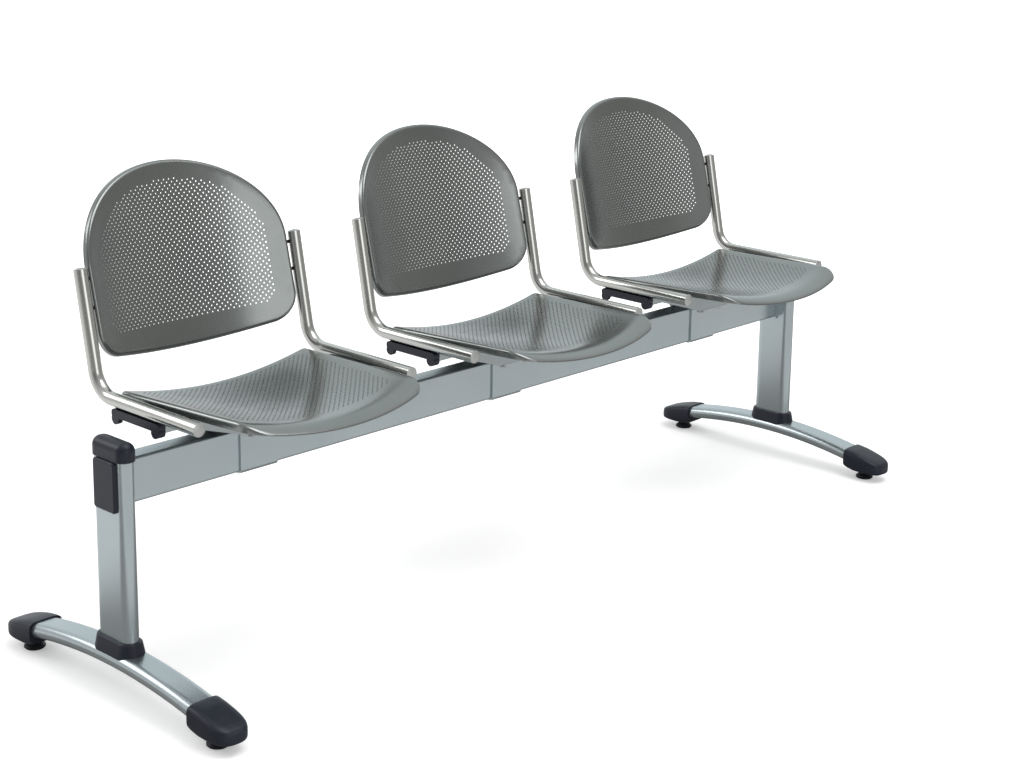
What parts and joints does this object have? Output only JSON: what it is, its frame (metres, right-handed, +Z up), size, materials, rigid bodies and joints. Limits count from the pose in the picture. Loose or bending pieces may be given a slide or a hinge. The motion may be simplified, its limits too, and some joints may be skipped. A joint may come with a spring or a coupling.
{
  "type": "beam seating",
  "caption": "Public waiting-room bench: perforated sheet-metal seats and backrests on bent tubes, carried by one rectangular beam and legs with arched feet.",
  "frame": {"origin": "on the floor, midway between the legs and midway between the front and rear ends of the feet", "axes": "+X along the beam, from the left leg to the right leg as seen from the front; the seats face -Y; +Z up"},
  "size_m": [1.737, 0.572, 0.7654],
  "materials": {
    "frame_paint": "satin silver-grey powder coat",
    "seat_paint": "semi-gloss metallic grey coat on perforated sheet",
    "tube_steel": "bright satin silver",
    "channel_paint": "satin grey coat",
    "cap_plastic": "fine-grained blue-black moulding",
    "glide_plastic": "dark moulded foot",
    "bright_plug": "bright silver plug",
    "zinc_steel": "dark zinc plating",
    "rubber": "black rubber"
  },
  "bodies": {
    "bench": {"back_rivets": "zinc_steel", "back_shell_1": "seat_paint", "back_shell_2": "seat_paint", "back_shell_3": "seat_paint", "back_spacers": "rubber", "beam": "frame_paint", "bracket_bolts": "zinc_steel", "channel_cap_1_left": "cap_plastic", "channel_cap_1_right": "cap_plastic", "channel_cap_2_left": "cap_plastic", "channel_cap_2_right": "cap_plastic", "channel_cap_3_left": "cap_plastic", "channel_cap_3_right": "cap_plastic", "channel_nuts": "zinc_steel", "cross_channel_1": "channel_paint", "cross_channel_2": "channel_paint", "cross_channel_3": "channel_paint", "glide_inserts": "zinc_steel", "left_bolt_cover": "cap_plastic", "left_collar": "cap_plastic", "left_end_plate": "frame_paint", "left_foot_tube": "frame_paint", "left_front_foot_cap": "cap_plastic", "left_rear_foot_cap": "cap_plastic", "left_top_cap": "cap_plastic", "left_upright": "frame_paint", "leg_bolts": "zinc_steel", "leg_weld_nuts": "zinc_steel", "right_bolt_cover": "cap_plastic", "right_collar": "cap_plastic", "right_end_plate": "frame_paint", "right_foot_tube": "frame_paint", "right_front_foot_cap": "cap_plastic", "right_rear_foot_cap": "cap_plastic", "right_top_cap": "cap_plastic", "right_upright": "frame_paint", "saddle_bracket_1": "frame_paint", "saddle_bracket_2": "frame_paint", "saddle_bracket_3": "frame_paint", "seat_shell_1": "seat_paint", "seat_shell_2": "seat_paint", "seat_shell_3": "seat_paint", "seat_spacers": "rubber", "seat_studs": "zinc_steel", "side_tube_1_left": "tube_steel", "side_tube_1_right": "tube_steel", "side_tube_2_left": "tube_steel", "side_tube_2_right": "tube_steel", "side_tube_3_left": "tube_steel", "side_tube_3_right": "tube_steel", "tube_plugs": "bright_plug"},
    "left_front_foot": {"left_front_glide_pad": "glide_plastic"},
    "left_front_screw": {"left_front_glide_stem": "zinc_steel"},
    "left_rear_foot": {"left_rear_glide_pad": "glide_plastic"},
    "left_rear_screw": {"left_rear_glide_stem": "zinc_steel"},
    "right_front_foot": {"right_front_glide_pad": "glide_plastic"},
    "right_front_screw": {"right_front_glide_stem": "zinc_steel"},
    "right_rear_foot": {"right_rear_glide_pad": "glide_plastic"},
    "right_rear_screw": {"right_rear_glide_stem": "zinc_steel"}
  },
  "joints": [
    {"name": "left_front_height", "type": "slide", "parent": "bench", "child": "left_front_foot", "axis": [0, 0, -1], "range_m": [0, 0.012]},
    {"name": "left_front_turn", "type": "hinge", "parent": "left_front_foot", "child": "left_front_screw", "pos_m": [-0.838, -0.238, 0.01], "axis": [0, 0, -1], "range_deg": [0, 3460]},
    {"name": "left_rear_height", "type": "slide", "parent": "bench", "child": "left_rear_foot", "axis": [0, 0, -1], "range_m": [0, 0.012]},
    {"name": "left_rear_turn", "type": "hinge", "parent": "left_rear_foot", "child": "left_rear_screw", "pos_m": [-0.838, 0.238, 0.01], "axis": [0, 0, -1], "range_deg": [0, 3460]},
    {"name": "right_front_height", "type": "slide", "parent": "bench", "child": "right_front_foot", "axis": [0, 0, -1], "range_m": [0, 0.012]},
    {"name": "right_front_turn", "type": "hinge", "parent": "right_front_foot", "child": "right_front_screw", "pos_m": [0.838, -0.238, 0.01], "axis": [0, 0, -1], "range_deg": [0, 3460]},
    {"name": "right_rear_height", "type": "slide", "parent": "bench", "child": "right_rear_foot", "axis": [0, 0, -1], "range_m": [0, 0.012]},
    {"name": "right_rear_turn", "type": "hinge", "parent": "right_rear_foot", "child": "right_rear_screw", "pos_m": [0.838, 0.238, 0.01], "axis": [0, 0, -1], "range_deg": [0, 3460]}
  ],
  "couplings": [
    {"joint": "left_front_turn", "follows": "left_front_height", "rad_per_m": 5026.5},
    {"joint": "left_rear_turn", "follows": "left_rear_height", "rad_per_m": 5026.5},
    {"joint": "right_front_turn", "follows": "right_front_height", "rad_per_m": 5026.5},
    {"joint": "right_rear_turn", "follows": "right_rear_height", "rad_per_m": 5026.5}
  ]
}
